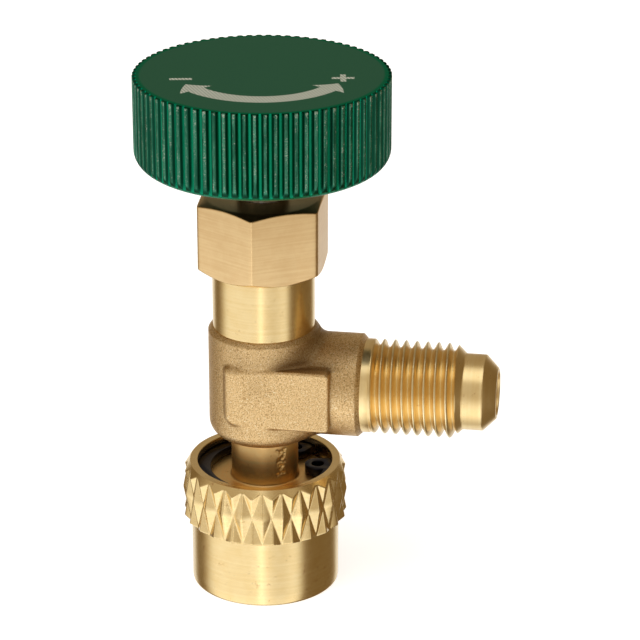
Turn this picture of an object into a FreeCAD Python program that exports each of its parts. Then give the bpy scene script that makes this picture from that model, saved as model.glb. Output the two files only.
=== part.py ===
import FreeCAD, Part
import math
import os

from FreeCAD import Vector

# All sizes are millimetres. +Z runs up the valve's axis from the union nut's lower face,
# the side port points along +X and the front is -Y.

# Union nut, a swivelling female flare nut with a knurled collar
nut_diameter = 17.5
nut_height = 15.3
nut_edge_chamfer = 0.35
collar_diameter = 19.6
collar_base = 8.3
knurl_count = 25
knurl_depth = 0.65
knurl_phase = -82.5
rim_diameter = 17.8
rim_chamfer_height = 1.25
rim_lip_height = 0.95
counterbore_diameter = 16.0
union_thread_minor = 9.9
union_thread_length = 7.4
union_mouth_chamfer = 0.8
union_relief_diameter = 11.6

# Retaining ring in the nut, above the body's flange
ring_thickness = 1.0
ring_groove_depth = 0.42
ring_axial_play = 0.05
ring_radial_play = 0.05
ring_mean_width = 1.6
ring_taper = 0.35
lug_angle_first = 13.0
lug_angle_second = 63.0
lug_width = 3.1
lug_tip_radius = 4.75
lug_hole_diameter = 1.5

# Body: one forging with a turned neck, stem and flange
flange_diameter = 15.5
flange_thickness = 2.0
flange_chamfer = 0.25
stem_diameter = 7.9
stem_foot_radius = 0.35
barrel_diameter = 13.0
barrel_base = 18.9
barrel_top = 32.6
barrel_base_round = 2.0
barrel_top_chamfer = 0.45
neck_diameter = 11.9
neck_top = 39.9
nose_diameter = 9.2
nose_length = 2.7
boss_diameter = 12.1
boss_reach = 11.5
boss_blend = 1.2
pad_stand = 6.55
pad_left = -3.7
pad_right = 8.6
pad_bottom = 22.0
pad_top = 29.4
pad_corner = 1.0
pad_edge_round = 0.3

# Side port, a male flare connection
port_height = 25.6
port_thread_major = 11.1
port_thread_end = 23.3
port_nose_diameter = 8.9
port_nose_start = 23.75
port_nose_end = 26.05
port_face_diameter = 5.9
port_bore = 5.1
port_mouth_chamfer = 0.2

# Bores inside the body
bonnet_thread_diameter = 10.0
bonnet_socket_depth = 8.5
chamber_diameter = 7.8
chamber_floor = 21.5
passage_diameter = 3.8
gasket_recess_depth = 2.0
guide_recess_diameter = 5.2
guide_recess_depth = 2.2

# Bonnet, turned from hexagon bar
bonnet_across_flats = 14.0
bonnet_head_height = 8.8
bonnet_flat_diameter = 13.4
bonnet_top_slope = 20.0
bonnet_foot_diameter = 13.8
bonnet_foot_slope = 30.0
bonnet_shank_length = 8.0
gland_floor_height = 3.1
packing_ring_section = 1.2
packing_groove_width = 1.4
lower_packing_height = 4.7
upper_packing_height = 6.9

# Spindle and handwheel
spindle_stem_diameter = 6.0
spindle_thread_diameter = 7.0
spindle_thread_length = 7.5
spindle_tip_diameter = 5.2
spindle_tip_chamfer = 0.5
spindle_seat_depth = 7.0
spindle_end_chamfer = 0.4
wheel_diameter = 29.34
wheel_thickness = 10.45
wheel_gap = 4.05
wheel_lower_round = 2.0
wheel_top_chamfer = 0.3
flute_count = 80
flute_depth = 0.45
flute_floor_width = 0.29
flute_crest_width = 0.32

# Depressor pin, its spring, its guide and the seals
pin_diameter = 1.8
pin_collar_diameter = 7.1
pin_collar_thickness = 1.0
pin_tip_rest_height = 8.4
pin_tip_chamfer = 0.25
spring_wire = 0.5
spring_diameter = 6.2
spring_turns = 5.5
spring_steps_per_turn = 18
spring_wire_sides = 6
guide_slot_count = 3
guide_slot_diameter = 1.2
gasket_hole_diameter = 3.8
gasket_stand = 0.4

# Clearances between pieces
running_clearance = 0.05
seat_clearance = 0.05
assembly_clearance = 0.05
beyond = 1.0

# Heights that follow from the sizes above
ring_top = nut_height - rim_lip_height
ring_bottom = ring_top - ring_thickness
flange_top = ring_bottom - ring_axial_play
flange_bottom = flange_top - flange_thickness
nose_bottom = flange_bottom - nose_length
gasket_recess_top = nose_bottom + gasket_recess_depth
socket_floor = neck_top - bonnet_socket_depth
shank_bottom = neck_top - bonnet_shank_length
bonnet_top = neck_top + bonnet_head_height
wheel_bottom = bonnet_top + wheel_gap
wheel_top = wheel_bottom + wheel_thickness
spindle_shoulder = neck_top + gland_floor_height - assembly_clearance
spindle_thread_bottom = spindle_shoulder - spindle_thread_length
pin_top = socket_floor - 2 * seat_clearance
pin_collar_bottom = pin_top - pin_collar_thickness
ring_groove_radius = counterbore_diameter / 2 + ring_groove_depth

z_axis = Vector(0, 0, 1)
x_axis = Vector(1, 0, 0)


def at(radius, height):
    """A point of a profile turned about the valve's axis."""
    return Vector(radius, 0, height)


def arc(centre, radius, start, end):
    """The middle and the end of an arc in the XZ plane, with angles in degrees."""
    points = []
    for angle in ((start + end) / 2, end):
        turn = math.radians(angle)
        points.append(centre + Vector(radius * math.cos(turn), 0, radius * math.sin(turn)))
    return tuple(points)


def outline(start, *steps):
    """A flat face bounded by straight lines to points and by arcs given as (middle, end)."""
    edges = []
    here = start
    for step in steps + (start,):
        is_arc = isinstance(step, tuple)
        goal = step[1] if is_arc else step
        if here.distanceToPoint(goal) > 1e-6:
            edges.append(Part.Arc(here, step[0], goal).toShape() if is_arc else Part.makeLine(here, goal))
        here = goal
    return Part.Face(Part.Wire(edges))


def turned(face):
    """A solid of revolution about the valve's axis."""
    return face.revolve(Vector(), z_axis, 360)


def polygon(*points):
    """A flat face with straight sides, from (radius, height) pairs."""
    return outline(*[at(*point) for point in points])


def rod(radius, bottom, top):
    """An upright cylinder on the valve's axis."""
    return Part.makeCylinder(radius, top - bottom, Vector(0, 0, bottom), z_axis)


def tube(inner, outer, bottom, top):
    """An upright tube on the valve's axis."""
    return turned(polygon((inner, bottom), (outer, bottom), (outer, top), (inner, top)))


def around(angle, radius, height=0.0):
    """A point at an angle in degrees about the valve's axis."""
    turn = math.radians(angle)
    return Vector(radius * math.cos(turn), radius * math.sin(turn), height)


def facet(*points):
    """A flat face with straight sides, from points in space."""
    return Part.Face(Part.makePolygon(list(points) + [points[0]]))


def single(shape):
    """The one solid of a result, without the seams that booleans leave."""
    return shape.removeSplitter().Solids[0]


def knurled_collar():
    """Two crossing sets of grooves leave one full row of pyramids and a half row above and below."""
    valley = collar_diameter / 2 - knurl_depth
    crest = collar_diameter / 2
    half = 180.0 / knurl_count
    low = collar_base
    middle = (collar_base + nut_height) / 2
    high = nut_height
    faces = []
    rims = {low: [], high: []}
    for number in range(knurl_count):
        angle = knurl_phase + 2 * half * number
        left = around(angle - half, valley, middle)
        right = around(angle + half, valley, middle)
        apex = around(angle, crest, middle)
        for level in (low, high):
            corner = around(angle, valley, level)
            following = around(angle + 2 * half, valley, level)
            rim_apex = around(angle + half, crest, level)
            faces.append(facet(left, corner, apex))
            faces.append(facet(corner, right, apex))
            faces.append(facet(corner, right, rim_apex))
            faces.append(facet(right, following, rim_apex))
            rims[level] += [corner, rim_apex]
    for corners in rims.values():
        faces.append(facet(*corners))
    return Part.Solid(Part.makeShell(faces))


def union_nut():
    """Plain barrel below, knurled collar above, counterbored for the body's flange."""
    rim = rim_diameter / 2
    crest = collar_diameter / 2 + beyond
    slope = rim_chamfer_height / (collar_diameter / 2 - rim)
    envelope = turned(polygon((0, 0), (crest, 0), (crest, nut_height - slope * (crest - rim)),
                              (rim, nut_height), (0, nut_height)))
    barrel = nut_diameter / 2
    core = turned(polygon((0, 0), (barrel - nut_edge_chamfer, 0), (barrel, nut_edge_chamfer),
                          (barrel, nut_height), (0, nut_height)))
    thread = union_thread_minor / 2
    mouth = thread + union_mouth_chamfer
    relief = union_relief_diameter / 2
    seat = counterbore_diameter / 2
    thread_top = union_mouth_chamfer + union_thread_length
    groove = ring_groove_radius
    inside = turned(polygon((0, -beyond), (mouth + beyond, -beyond), (thread, union_mouth_chamfer),
                            (thread, thread_top), (relief, thread_top + relief - thread),
                            (relief, flange_bottom), (seat, flange_bottom),
                            (seat, ring_bottom - ring_axial_play),
                            (groove, ring_bottom - ring_axial_play), (groove, ring_top + ring_axial_play),
                            (seat, ring_top + ring_axial_play), (seat, nut_height + beyond),
                            (0, nut_height + beyond)))
    return single(core.fuse(knurled_collar()).common(envelope).cut(inside))


def union_circlip():
    """An internal retaining ring, widest opposite its gap, with a drilled lug at each end."""
    outer = ring_groove_radius - ring_radial_play
    inner = outer - ring_mean_width
    gap_middle = (lug_angle_first + lug_angle_second) / 2
    disc = rod(outer, ring_bottom, ring_top)
    hole = Part.makeCylinder(inner, ring_thickness + 2 * beyond,
                             around(gap_middle, ring_taper, ring_bottom - beyond), z_axis)
    gap = facet(around(0, 0, ring_bottom - beyond), around(lug_angle_first, 2 * outer, ring_bottom - beyond),
                around(gap_middle, 4 * outer, ring_bottom - beyond),
                around(lug_angle_second, 2 * outer, ring_bottom - beyond))
    ring = disc.cut(hole).cut(gap.extrude(Vector(0, 0, ring_thickness + 2 * beyond)))
    lug_centre = lug_tip_radius + lug_width / 2
    for angle in (lug_angle_first, lug_angle_second):
        eye = Part.makeCylinder(lug_width / 2, ring_thickness, Vector(lug_centre, 0, ring_bottom), z_axis)
        root = Part.makeBox(outer - lug_centre, lug_width, ring_thickness,
                            Vector(lug_centre, -lug_width / 2, ring_bottom))
        lug = eye.fuse(root)
        lug.rotate(Vector(), z_axis, angle)
        ring = ring.fuse(lug.common(disc))
        ring = ring.cut(Part.makeCylinder(lug_hole_diameter / 2, ring_thickness + 2 * beyond,
                                          around(angle, lug_centre, ring_bottom - beyond), z_axis))
    return single(ring)


def along_port(*points):
    """A solid turned about the side port's axis, from (distance, radius) pairs."""
    face = outline(*[Vector(distance, 0, port_height + radius) for distance, radius in points])
    return face.revolve(Vector(0, 0, port_height), x_axis, 360)


def boss_blend_ring(boss):
    """The rounded corner where the boss leaves the barrel, between the barrel's two worked ends."""
    radius = barrel_diameter / 2
    column = rod(radius, barrel_base - boss_reach, barrel_top + boss_reach)
    joined = column.fuse(boss)
    crossings = [edge for edge in joined.Edges if edge.Curve.TypeId == "Part::GeomBSplineCurve"]
    low = barrel_base + barrel_base_round
    reach = 2 * (boss_reach + radius)
    span = Part.makeBox(reach, reach, barrel_top - low, Vector(0, -reach / 2, low))
    return joined.makeFillet(boss_blend, crossings).common(span).cut(column).cut(boss)


def forged_tee():
    """The barrel and the side boss, blended where they meet, with a flat pad front and back."""
    radius = barrel_diameter / 2
    curve = barrel_base_round
    barrel = turned(outline(
        at(0, barrel_base), at(radius - curve, barrel_base),
        arc(at(radius - curve, barrel_base + curve), curve, -90, 0),
        at(radius, barrel_top - barrel_top_chamfer),
        at(radius - barrel_top_chamfer, barrel_top), at(0, barrel_top)))
    boss = along_port((0, 0), (0, boss_diameter / 2), (boss_reach, boss_diameter / 2), (boss_reach, 0))
    tee = barrel.fuse(boss).fuse(boss_blend_ring(boss))
    for side in (-1, 1):
        pad = Part.makeBox(pad_right - pad_left, pad_stand, pad_top - pad_bottom,
                           Vector(pad_left, min(0, side * pad_stand), pad_bottom))
        across = [edge for edge in pad.Edges if abs(edge.tangentAt(edge.FirstParameter).y) > 0.9]
        pad = pad.makeFillet(pad_corner, across)
        proud = [edge for edge in pad.Edges
                 if abs(edge.BoundBox.YMin - side * pad_stand) < 1e-3
                 and abs(edge.BoundBox.YMax - side * pad_stand) < 1e-3]
        tee = tee.fuse(pad.makeFillet(pad_edge_round, proud))
    return tee


def valve_body():
    """The forging with its turned neck, stem, flange, nose, side port and bores."""
    flange = flange_diameter / 2
    stem = stem_diameter / 2
    nose = nose_diameter / 2
    foot = stem_foot_radius
    stem_solid = turned(outline(
        at(0, nose_bottom), at(nose, nose_bottom), at(nose, flange_bottom),
        at(flange - flange_chamfer, flange_bottom), at(flange, flange_bottom + flange_chamfer),
        at(flange, flange_top - flange_chamfer), at(flange - flange_chamfer, flange_top),
        at(stem + foot, flange_top),
        arc(at(stem + foot, flange_top + foot), foot, -90, -180),
        at(stem, barrel_base + barrel_base_round), at(0, barrel_base + barrel_base_round)))
    neck = rod(neck_diameter / 2, barrel_top - barrel_base_round, neck_top)
    thread = port_thread_major / 2
    step = boss_diameter / 2 - thread
    port_nose = port_nose_diameter / 2
    face = port_face_diameter / 2
    port = along_port(
        (0, 0), (0, thread), (boss_reach, boss_diameter / 2), (boss_reach + step, thread),
        (port_thread_end, thread), (port_nose_start, port_nose), (port_nose_end, port_nose),
        (port_nose_end + port_nose - face, face), (port_nose_end + port_nose - face, 0))
    body = forged_tee().fuse([stem_solid, neck, port])
    socket = bonnet_thread_diameter / 2
    chamber = chamber_diameter / 2
    passage = passage_diameter / 2
    guide = guide_recess_diameter / 2
    recess = gasket_recess_radius()
    guide_top = gasket_recess_top + guide_recess_depth
    bores = turned(polygon(
        (0, nose_bottom - beyond), (recess, nose_bottom - beyond), (recess, gasket_recess_top),
        (guide, gasket_recess_top), (guide, guide_top), (passage, guide_top),
        (passage, chamber_floor), (chamber, chamber_floor), (chamber, socket_floor),
        (socket, socket_floor), (socket, neck_top + beyond), (0, neck_top + beyond)))
    bore = port_bore / 2
    end = port_nose_end + port_nose - face
    mouth = port_mouth_chamfer
    side_bore = along_port((0, 0), (0, bore), (end - mouth, bore), (end + beyond, bore + mouth + beyond),
                           (end + beyond, 0))
    return single(body.cut(bores.fuse(side_bore)))


def gasket_recess_radius():
    """The gasket fills the nose down to a wall of about a millimetre."""
    return nose_diameter / 2 - 0.95


def flare_gasket():
    """A soft washer that the mating flare's nose presses on."""
    return single(tube(gasket_hole_diameter / 2, gasket_recess_radius() - assembly_clearance,
                       nose_bottom - gasket_stand, gasket_recess_top))


def pin_guide():
    """A slotted bush that centres the depressor pin and lets the gas past."""
    top = gasket_recess_top + guide_recess_depth
    bush = tube(pin_diameter / 2 + running_clearance, guide_recess_diameter / 2 - assembly_clearance,
                gasket_recess_top, top)
    slot_radius = guide_slot_diameter / 2
    for number in range(guide_slot_count):
        slot = Part.makeCylinder(slot_radius, guide_recess_depth + 2 * beyond,
                                 around(360.0 * number / guide_slot_count, passage_diameter / 2,
                                        gasket_recess_top - beyond), z_axis)
        bush = bush.cut(slot)
    return single(bush)


def depressor_pin():
    """A slender pin with a collar that the spindle pushes and the spring lifts."""
    pin = pin_diameter / 2
    collar = pin_collar_diameter / 2
    tip = pin_tip_rest_height
    return single(turned(polygon(
        (0, tip), (pin - pin_tip_chamfer, tip), (pin, tip + pin_tip_chamfer), (pin, pin_collar_bottom),
        (collar, pin_collar_bottom), (collar, pin_top), (0, pin_top))))


def pin_return_spring():
    """A compression spring between the chamber's floor and the pin's collar, swept in short flats."""
    wire = spring_wire / 2
    radius = spring_diameter / 2 - wire
    low = chamber_floor + wire + seat_clearance
    rise = pin_collar_bottom - chamber_floor - spring_wire - 2 * seat_clearance
    steps = int(round(spring_turns * spring_steps_per_turn))
    rings = []
    for step in range(steps + 1):
        share = step / steps
        ring = []
        for side in range(spring_wire_sides):
            turn = 2 * math.pi * side / spring_wire_sides
            ring.append(around(360 * spring_turns * share, radius + wire * math.cos(turn),
                               low + rise * share + wire * math.sin(turn)))
        rings.append(ring)
    faces = [facet(*rings[0]), facet(*rings[-1])]
    for near, far in zip(rings, rings[1:]):
        for side in range(spring_wire_sides):
            after = (side + 1) % spring_wire_sides
            faces.append(facet(near[side], near[after], far[after]))
            faces.append(facet(near[side], far[after], far[side]))
    return Part.Solid(Part.makeShell(faces))


def bonnet():
    """A hexagon head over a threaded shank, bored for the spindle and its packing rings."""
    flats = bonnet_across_flats / 2
    corner = flats / math.cos(math.radians(30))
    sides = [around(60 * number - 30, corner, neck_top) for number in range(6)]
    head = facet(*sides).extrude(Vector(0, 0, bonnet_head_height))
    top_flat = bonnet_flat_diameter / 2
    foot_flat = bonnet_foot_diameter / 2
    rim = corner + beyond
    top_drop = (rim - top_flat) * math.tan(math.radians(bonnet_top_slope))
    foot_rise = (rim - foot_flat) * math.tan(math.radians(bonnet_foot_slope))
    head = head.common(turned(polygon(
        (0, neck_top), (foot_flat, neck_top), (rim, neck_top + foot_rise), (rim, bonnet_top - top_drop),
        (top_flat, bonnet_top), (0, bonnet_top))))
    shank = rod(bonnet_thread_diameter / 2 - assembly_clearance, shank_bottom, neck_top + beyond)
    thread = spindle_thread_diameter / 2 + running_clearance
    stem = spindle_stem_diameter / 2 + running_clearance
    gland_floor = neck_top + gland_floor_height
    inside = turned(polygon((0, shank_bottom - beyond), (thread, shank_bottom - beyond), (thread, gland_floor),
                            (stem, gland_floor), (stem, bonnet_top + beyond), (0, bonnet_top + beyond)))
    groove = stem + packing_ring_section + assembly_clearance
    blank = head.fuse(shank).cut(inside)
    for height in (lower_packing_height, upper_packing_height):
        middle = neck_top + height
        blank = blank.cut(tube(stem - assembly_clearance, groove, middle - packing_groove_width / 2,
                               middle + packing_groove_width / 2))
    return single(blank)


def packing_ring(height):
    """A round-section seal in one of the bonnet's grooves."""
    section = packing_ring_section / 2
    radius = spindle_stem_diameter / 2 + running_clearance + section
    return Part.makeTorus(radius, section, Vector(0, 0, neck_top + height), z_axis).Solids[0]


def bonnet_gasket():
    """A flat ring squeezed between the bonnet's shank and the floor of its socket."""
    return single(tube(chamber_diameter / 2 + assembly_clearance,
                       bonnet_thread_diameter / 2 - 2 * assembly_clearance, socket_floor, shank_bottom))


def spindle():
    """A threaded spindle with a plain stem above and a thrust tip below."""
    stem = spindle_stem_diameter / 2
    thread = spindle_thread_diameter / 2
    tip = spindle_tip_diameter / 2
    top = wheel_bottom + spindle_seat_depth
    tip_chamfer = spindle_tip_chamfer
    end_chamfer = spindle_end_chamfer
    return single(turned(polygon(
        (0, pin_top), (tip - tip_chamfer, pin_top), (tip, pin_top + tip_chamfer), (tip, spindle_thread_bottom),
        (thread, spindle_thread_bottom + thread - tip), (thread, spindle_shoulder), (stem, spindle_shoulder),
        (stem, top - end_chamfer), (stem - end_chamfer, top), (0, top))))


def handwheel():
    """A solid wheel with straight flutes that run out through its top face and its rounded foot."""
    radius = wheel_diameter / 2
    curve = wheel_lower_round
    blank = turned(outline(
        at(0, wheel_bottom), at(radius - curve, wheel_bottom),
        arc(at(radius - curve, wheel_bottom + curve), curve, -90, 0),
        at(radius, wheel_top - wheel_top_chamfer), at(radius - wheel_top_chamfer, wheel_top),
        at(0, wheel_top)))
    floor = radius - flute_depth
    tooth_base = 2 * math.pi * floor / flute_count - flute_floor_width
    apex = radius + flute_depth * flute_crest_width / (tooth_base - flute_crest_width)
    half_floor = math.degrees(flute_floor_width / 2 / floor)
    step = 360.0 / flute_count
    corners = []
    for number in range(flute_count):
        middle = step * number
        corners.append(around(middle - half_floor, floor, wheel_bottom - beyond))
        corners.append(around(middle + half_floor, floor, wheel_bottom - beyond))
        corners.append(around(middle + step / 2, apex, wheel_bottom - beyond))
    fluted = facet(*corners).extrude(Vector(0, 0, wheel_thickness + 2 * beyond))
    bore = rod(spindle_stem_diameter / 2 + assembly_clearance, wheel_bottom - beyond,
               wheel_bottom + spindle_seat_depth + seat_clearance)
    return single(blank.common(fluted).cut(bore))


nodes = {
    "valve_body": valve_body,
    "union_nut": union_nut,
    "union_circlip": union_circlip,
    "flare_gasket": flare_gasket,
    "pin_guide": pin_guide,
    "depressor_pin": depressor_pin,
    "pin_return_spring": pin_return_spring,
    "bonnet": bonnet,
    "bonnet_gasket": bonnet_gasket,
    "spindle_packing_lower": lambda: packing_ring(lower_packing_height),
    "spindle_packing_upper": lambda: packing_ring(upper_packing_height),
    "spindle": spindle,
    "handwheel": handwheel,
}

os.makedirs("parts", exist_ok=True)
for name, make in nodes.items():
    solid = make()
    print(name, "valid" if solid.isValid() else "NOT VALID", round(solid.Volume, 2), "mm3")
    solid.exportStep("parts/" + name + ".step")
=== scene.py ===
import math

import bmesh
import bpy
import numpy as np
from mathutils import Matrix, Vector


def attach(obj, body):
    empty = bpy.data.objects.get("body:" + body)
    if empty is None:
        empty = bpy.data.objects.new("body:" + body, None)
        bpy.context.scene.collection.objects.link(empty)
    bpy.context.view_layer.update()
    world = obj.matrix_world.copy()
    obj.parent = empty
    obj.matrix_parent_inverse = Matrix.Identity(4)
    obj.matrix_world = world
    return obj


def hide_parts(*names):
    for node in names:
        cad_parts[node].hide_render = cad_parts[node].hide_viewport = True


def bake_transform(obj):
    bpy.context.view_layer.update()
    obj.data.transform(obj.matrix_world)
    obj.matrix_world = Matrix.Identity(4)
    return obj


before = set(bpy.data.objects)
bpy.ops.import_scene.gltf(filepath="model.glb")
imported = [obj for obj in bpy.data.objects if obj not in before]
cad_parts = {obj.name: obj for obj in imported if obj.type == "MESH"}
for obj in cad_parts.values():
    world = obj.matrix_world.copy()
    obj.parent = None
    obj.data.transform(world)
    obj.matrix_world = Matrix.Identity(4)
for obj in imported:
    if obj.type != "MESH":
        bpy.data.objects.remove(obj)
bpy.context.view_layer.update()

print("frame loaded:", len(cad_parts), "nodes")

# Sizes are millimetres unless a note says otherwise. The mesh is brought to metres in makePiece.
millimetre = 0.001


# Mesh tools

def rounded(corners, reach, steps=4, closed=True):
    # corners: (..., n, 2), a polyline. Each corner P becomes the curve
    # (1-t)^2 A + 2t(1-t) P + t^2 B, where A and B lie on its two sides, `reach` away or 0.45 of the side
    corners = np.asarray(corners, float)
    reach = np.broadcast_to(reach, corners.shape[:-1])[..., None]
    before = np.roll(corners, 1, axis=-2) - corners
    after = np.roll(corners, -1, axis=-2) - corners
    if not closed:
        before[..., 0, :] = 0
        after[..., -1, :] = 0
    ends = []
    for side in (before, after):
        length = np.linalg.norm(side, axis=-1, keepdims=True)
        ends.append(corners + side / np.maximum(length, 1e-9) * np.minimum(reach, 0.45 * length))
    t = np.linspace(0, 1, steps)[:, None]
    curve = ((1 - t) ** 2 * ends[0][..., None, :] + 2 * t * (1 - t) * corners[..., None, :]
             + t ** 2 * ends[1][..., None, :])
    return curve.reshape(*corners.shape[:-2], -1, 2)


def divided(profile, spacing, closed=True):
    # a polyline with each side longer than `spacing` cut into equal parts
    following = np.roll(profile, -1, axis=0)
    if not closed:
        following[-1] = profile[-1]
    parts = np.maximum(1, np.ceil(np.linalg.norm(following - profile, axis=1) / spacing)).astype(int)
    side = np.repeat(np.arange(len(profile)), parts)
    share = (np.arange(len(side)) - np.repeat(np.cumsum(parts) - parts, parts)) / parts[side]
    return profile[side] + (following - profile)[side] * share[:, None]


def gridFaces(rows, columns, closedRows=True, closedColumns=True):
    # quads between neighbouring rows and columns of a grid whose vertex (i, j) is number i * columns + j
    i, j = np.meshgrid(np.arange(rows - (not closedRows)), np.arange(columns - (not closedColumns)),
                       indexing="ij")
    i, j = i.ravel(), j.ravel()
    nextRow, nextColumn = (i + 1) % rows, (j + 1) % columns
    return np.stack([i * columns + j, i * columns + nextColumn,
                     nextRow * columns + nextColumn, nextRow * columns + j], axis=1)


def creased(points, faces):
    # each quad becomes two triangles, cut along the diagonal that bulges less, so that a ridge or a
    # groove that crosses the quad from corner to corner keeps its line
    corner = points[faces]
    first = np.linalg.norm(corner[:, 0] - corner[:, 2], axis=1)
    second = np.linalg.norm(corner[:, 1] - corner[:, 3], axis=1)
    cut = (first <= second)[:, None]
    one = np.where(cut, faces[:, [0, 1, 2]], faces[:, [0, 1, 3]])
    two = np.where(cut, faces[:, [0, 2, 3]], faces[:, [1, 2, 3]])
    return np.concatenate([one, two])


def makePiece(name, points, faces, body, nodes, material, sharp=None):
    # points in millimetres, any shape ending in 3; doubles are merged and the faces turned outwards
    mesh = bpy.data.meshes.new(name)
    mesh.from_pydata((points.reshape(-1, 3) * millimetre).tolist(), [], faces.tolist())
    work = bmesh.new()
    work.from_mesh(mesh)
    bmesh.ops.remove_doubles(work, verts=work.verts, dist=2e-7)
    bmesh.ops.recalc_face_normals(work, faces=work.faces)
    openEdges = sum(len(edge.link_faces) != 2 for edge in work.edges)
    work.to_mesh(mesh)
    work.free()
    mesh.shade_smooth()
    if sharp:
        mesh.set_sharp_from_angle(angle=math.radians(sharp))
    mesh.materials.append(material)
    piece = bpy.data.objects.new(name, mesh)
    bpy.context.scene.collection.objects.link(piece)
    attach(piece, body)
    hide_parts(*nodes)
    print("made", name, len(mesh.polygons), "faces,", openEdges, "open edges")
    return piece


def turned(profile, columns):
    # a closed profile of (radius, height) pairs turned about the valve's axis: (r cos a, r sin a, height)
    angle = np.arange(columns) * 2 * np.pi / columns
    r, z = profile[..., 0:1], profile[..., 1:2]
    return np.stack(np.broadcast_arrays(r * np.cos(angle), r * np.sin(angle), z), axis=-1)


# Material tools

class Value:
    # wraps a node's output, so that sums on it are written as sums and make Math nodes
    def __init__(self, graph, socket):
        self.graph = graph
        self.socket = socket

    def maths(self, operation, other=0.0):
        return self.graph.node("Math", {"operation": operation}, {0: self, 1: other})

    def __add__(self, other):
        return self.maths("ADD", other)

    def __sub__(self, other):
        return self.maths("SUBTRACT", other)

    def __mul__(self, other):
        return self.maths("MULTIPLY", other)

    def __truediv__(self, other):
        return self.maths("DIVIDE", other)

    def __pow__(self, other):
        return self.maths("POWER", other)

    def __rsub__(self, other):
        return self.graph.node("Math", {"operation": "SUBTRACT"}, {0: other, 1: self})

    def __rtruediv__(self, other):
        return self.graph.node("Math", {"operation": "DIVIDE"}, {0: other, 1: self})

    __radd__ = __add__
    __rmul__ = __mul__

    def step(self, low, high):
        # 0 below low, 1 above high, smooth between
        return self.graph.node("MapRange", {"interpolation_type": "SMOOTHSTEP"},
                               {"Value": self, "From Min": low, "From Max": high})


class Graph:
    # one material, or the world, and its nodes
    def __init__(self, owner):
        owner.use_nodes = True
        self.tree = owner.node_tree
        self.tree.nodes.clear()

    def node(self, kind, settings=None, sockets=None, output=0):
        made = self.tree.nodes.new("ShaderNode" + kind)
        for name, setting in (settings or {}).items():
            if name == "stops":
                ramp = made.color_ramp.elements
                for number, (place, colour) in enumerate(setting):
                    stop = ramp[number] if number < 2 else ramp.new(place)
                    stop.position = place
                    stop.color = colour
            else:
                setattr(made, name, setting)
        for name, given in (sockets or {}).items():
            if isinstance(given, Value):
                self.tree.links.new(given.socket, made.inputs[name])
            else:
                made.inputs[name].default_value = given
        return Value(self, made.outputs[output]) if made.outputs else None

    def place(self):
        # the point on the piece, in metres
        return self.node("TexCoord", output=3)

    def split(self, vector):
        return [self.node("SeparateXYZ", None, {0: vector}, number) for number in range(3)]

    def join(self, x=0.0, y=0.0, z=0.0):
        return self.node("CombineXYZ", None, {0: x, 1: y, 2: z})

    def noise(self, where, size, detail=2.0, roughness=0.5):
        # size is the width of the pattern's features in millimetres
        return self.node("TexNoise", None, {"Vector": where, "Scale": 1 / (size * millimetre),
                                            "Detail": detail, "Roughness": roughness})

    def mix(self, share, first, second):
        return self.node("Mix", {"data_type": "RGBA"}, {0: share, 6: first, 7: second}, output=2)

    def bump(self, height, depth):
        # depth is the height in millimetres that a value of 1 stands proud
        return self.node("Bump", None, {"Height": height, "Distance": depth * millimetre})

    def surface(self, sockets):
        shader = self.node("BsdfPrincipled", None, sockets)
        self.node("OutputMaterial", None, {"Surface": shader})


def rgb(red, green, blue):
    # a colour written in 0 to 255 as a picture shows it, turned to the linear values that shaders use
    share = np.array([red, green, blue]) / 255
    linear = np.where(share <= 0.04045, share / 12.92, ((share + 0.055) / 1.055) ** 2.4)
    return (*linear.tolist(), 1.0)


def newMaterial(name):
    material = bpy.data.materials.new(name)
    return material, Graph(material)


def radial(graph, place, axisHeight=None):
    # distance from the valve's axis, or from the port's axis at `axisHeight` millimetres
    x, y, z = graph.split(place)
    if axisHeight is None:
        return (x * x + y * y) ** 0.5, z
    up = z - axisHeight * millimetre
    return (y * y + up * up) ** 0.5, x


turnedBrass = {
    "colour": rgb(250, 224, 168), "dark": rgb(243, 212, 150), "roughness": 0.24, "streak": 0.1,
    "lineWidth": 0.07, "lineDepth": 0.0025, "portHeight": 25.6, "stain": rgb(186, 132, 74),
    "stainSize": 0.9, "stainShare": 0.45,
}
stemBrass = {**turnedBrass, "colour": rgb(250, 206, 138), "roughness": 0.4, "lineDepth": 0.004}
# the port's crests take a pale colour: partly rubbed brass, partly a painted highlight
portBrass = {
    **turnedBrass, "roughness": 0.3, "crest": 5.53, "crestStart": 13.5, "rub": 0.14, "rubFull": 0.02,
    "pale": rgb(255, 240, 198),
}


def turnedBrassMaterial(name, axisHeight=None, style=turnedBrass):
    # lathe lines run round the axis: a noise that depends on the distance along it alone
    material, graph = newMaterial(name)
    place = graph.place()
    radius, along = radial(graph, place, axisHeight)
    line = graph.join(along, radius)
    fine = graph.noise(line, style["lineWidth"], 2.0, 0.6)
    broad = graph.noise(line, style["lineWidth"] * 5, 2.0, 0.5)
    cloud = graph.noise(place, 1.6, 3.0, 0.6)
    tone = (broad * 0.5 + cloud * 0.5).step(0.3, 0.7)
    clean = graph.mix(tone, style["dark"], style["colour"])
    if "crest" in style:     # the thread's crests are rubbed bright, and paler there as a painted highlight
        rubbedAndGlint = radius.step((style["crest"] - style["rub"]) * millimetre,
                             (style["crest"] - style["rubFull"]) * millimetre)
        thread = along.step((style["crestStart"] - 0.3) * millimetre, style["crestStart"] * millimetre)
        clean = graph.mix(rubbedAndGlint * thread * (cloud * 2 - 0.2), clean, style["pale"])
    stain = graph.noise(place, style["stainSize"], 5.0, 0.7).step(0.6, 0.72)
    graph.surface({
        "Base Color": graph.mix(stain * style["stainShare"], clean, style["stain"]),
        "Metallic": 1.0,
        "Roughness": style["roughness"] + (fine - 0.5) * style["streak"] + (cloud - 0.5) * 0.08,
        "Normal": graph.bump(fine, style["lineDepth"]),
    })
    return material


# the forging's crevices are painted a dark brown as shade
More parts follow.
